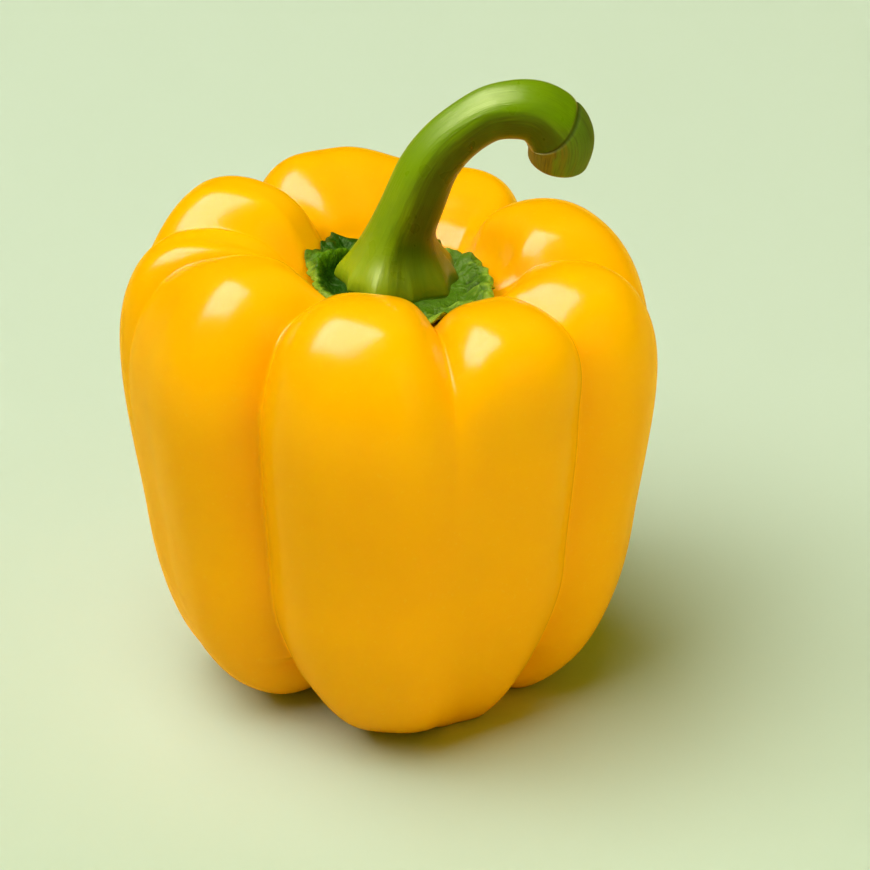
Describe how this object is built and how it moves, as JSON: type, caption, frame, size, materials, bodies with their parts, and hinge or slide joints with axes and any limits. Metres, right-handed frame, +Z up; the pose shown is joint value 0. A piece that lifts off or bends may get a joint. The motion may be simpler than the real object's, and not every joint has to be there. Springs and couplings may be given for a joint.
{
  "type": "bell pepper",
  "caption": "Whole yellow bell pepper standing on its lobed feet, with a sunken green calyx and a thick hooked stem.",
  "frame": {"origin": "middle of the object's box on the surface it stands on", "axes": "+Z up along the pod towards the stem, +X the way the stem's hook bends, -Y towards the widest front lobe"},
  "size_m": [0.0878, 0.0934, 0.1076],
  "materials": {
    "fruit_skin": "smooth waxy yellow-orange skin with a soft gloss",
    "calyx_green": "crinkled matte leaf green",
    "stem_green": "satin green stalk with faint ribs and an olive-brown swollen end"
  },
  "bodies": {
    "root": {"fruit": "fruit_skin", "calyx": "calyx_green", "stem": "stem_green"}
  },
  "joints": []
}
